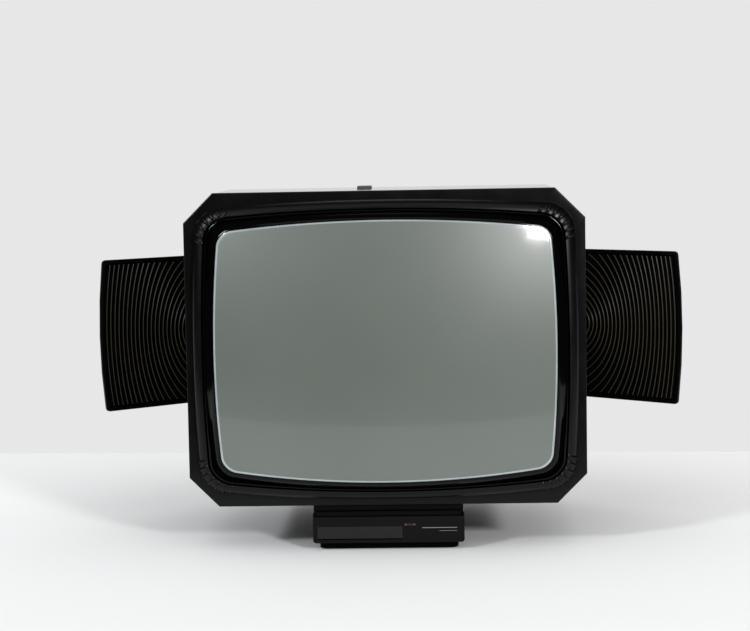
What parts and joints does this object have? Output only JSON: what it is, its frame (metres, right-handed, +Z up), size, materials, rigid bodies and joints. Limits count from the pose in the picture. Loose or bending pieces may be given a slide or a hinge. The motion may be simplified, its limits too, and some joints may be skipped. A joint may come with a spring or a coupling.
{
  "type": "picture tube television monitor",
  "caption": "Television monitor with a bulging picture tube in an octagonal bezel, hinged loudspeaker wings and a low swivel pedestal with a control flap.",
  "frame": {"origin": "centre of the underside of the base plate, on the swivel axis", "axes": "+X to the viewer's right, -Y towards the viewer so the screen faces -Y, +Z up"},
  "size_m": [0.7946, 0.451, 0.4552],
  "materials": {
    "satin_black_plastic": "satin black moulded plastic",
    "turntable_plastic": "matt black moulded plastic",
    "gloss_black_mask": "polished black plastic",
    "tube_face_glass": "polished grey-green tube glass over a pale screen layer",
    "tube_cone_glass": "glass with a dark conductive coating",
    "smoked_flap": "smoked semi-gloss plastic",
    "grey_plastic": "fine matt grey plastic",
    "rubber": "matt black rubber",
    "steel": "zinc plated steel",
    "aluminium": "extruded aluminium",
    "circuit_board": "green lacquered board",
    "indicator_red": "dark red translucent plastic",
    "moulded_dark": "dark moulded plastic",
    "brass": "plated contact metal",
    "copper_winding": "lacquered copper wire",
    "ferrite": "grey ferrite and core plates",
    "cone_paper": "dark pressed paper",
    "ribbed_grille": "black moulded plastic with fine olive ribs"
  },
  "bodies": {
    "pedestal": {"base_plate": "satin_black_plastic", "foot_strip_left": "rubber", "foot_strip_right": "rubber", "pedestal_housing": "satin_black_plastic", "front_fascia": "satin_black_plastic", "swivel_spindle": "steel", "spindle_nut": "steel", "indicator_lens": "indicator_red", "flap_pin": "steel", "control_board": "circuit_board"},
    "flap": {"control_flap": "smoked_flap"},
    "button_1": {"control_button_1": "grey_plastic"},
    "button_2": {"control_button_2": "grey_plastic"},
    "button_3": {"control_button_3": "grey_plastic"},
    "button_4": {"control_button_4": "grey_plastic"},
    "monitor": {"turntable": "turntable_plastic", "front_bezel": "satin_black_plastic", "screen_mask": "gloss_black_mask", "cabinet_shell": "satin_black_plastic", "rear_rim": "satin_black_plastic", "rim_screw_1": "steel", "rim_screw_2": "steel", "rear_cover": "satin_black_plastic", "wing_bracket_left": "satin_black_plastic", "wing_bracket_right": "satin_black_plastic", "hinge_pin_left": "steel", "hinge_pin_right": "steel", "connector_panel": "grey_plastic", "aerial_socket": "brass", "av_socket": "moulded_dark", "mains_inlet": "moulded_dark", "tuner_box": "steel", "face_panel": "tube_face_glass", "shadow_mask": "moulded_dark", "tension_band": "steel", "crt_funnel": "tube_cone_glass", "degauss_coil": "rubber", "yoke_coils": "copper_winding", "yoke_core": "ferrite", "purity_rings": "moulded_dark", "electron_gun": "steel", "tube_base": "moulded_dark", "neck_board": "circuit_board", "chassis_board": "circuit_board", "flyback_transformer": "moulded_dark", "mains_transformer": "ferrite", "heat_sink": "aluminium", "anode_cap": "rubber", "anode_lead": "rubber"},
    "mains_button": {"power_button": "grey_plastic"},
    "left_wing": {"wing_shell_left": "satin_black_plastic", "speaker_grille_left": "ribbed_grille", "speaker_frame_left": "steel", "speaker_cone_left": "cone_paper", "speaker_magnet_left": "ferrite"},
    "right_wing": {"wing_shell_right": "satin_black_plastic", "speaker_grille_right": "ribbed_grille", "speaker_frame_right": "steel", "speaker_cone_right": "cone_paper", "speaker_magnet_right": "ferrite"}
  },
  "joints": [
    {"name": "monitor_swivel", "type": "hinge", "parent": "pedestal", "child": "monitor", "pos_m": [0, 0, 0.0517], "axis": [0, 0, 1], "range_deg": [-35, 35]},
    {"name": "left_wing_hinge", "type": "hinge", "parent": "monitor", "child": "left_wing", "pos_m": [-0.238, 0.1958, 0.2545], "axis": [0, 0, 1], "range_deg": [0, 51]},
    {"name": "right_wing_hinge", "type": "hinge", "parent": "monitor", "child": "right_wing", "pos_m": [0.238, 0.1958, 0.2545], "axis": [0, 0, 1], "range_deg": [-51, 0]},
    {"name": "mains_press", "type": "slide", "parent": "monitor", "child": "mains_button", "axis": [0, 0, -1], "range_m": [0, 0.002], "stiffness_N_per_m": 500, "springref_m": -0.001},
    {"name": "flap_hinge", "type": "hinge", "parent": "pedestal", "child": "flap", "pos_m": [-0.03625, -0.148, 0.0154], "axis": [1, 0, 0], "range_deg": [0, 90]},
    {"name": "button_1_press", "type": "slide", "parent": "pedestal", "child": "button_1", "axis": [0, 1, 0], "range_m": [0, 0.0015], "stiffness_N_per_m": 250, "springref_m": -0.0005},
    {"name": "button_2_press", "type": "slide", "parent": "pedestal", "child": "button_2", "axis": [0, 1, 0], "range_m": [0, 0.0015], "stiffness_N_per_m": 250, "springref_m": -0.0005},
    {"name": "button_3_press", "type": "slide", "parent": "pedestal", "child": "button_3", "axis": [0, 1, 0], "range_m": [0, 0.0015], "stiffness_N_per_m": 250, "springref_m": -0.0005},
    {"name": "button_4_press", "type": "slide", "parent": "pedestal", "child": "button_4", "axis": [0, 1, 0], "range_m": [0, 0.0015], "stiffness_N_per_m": 250, "springref_m": -0.0005}
  ]
}
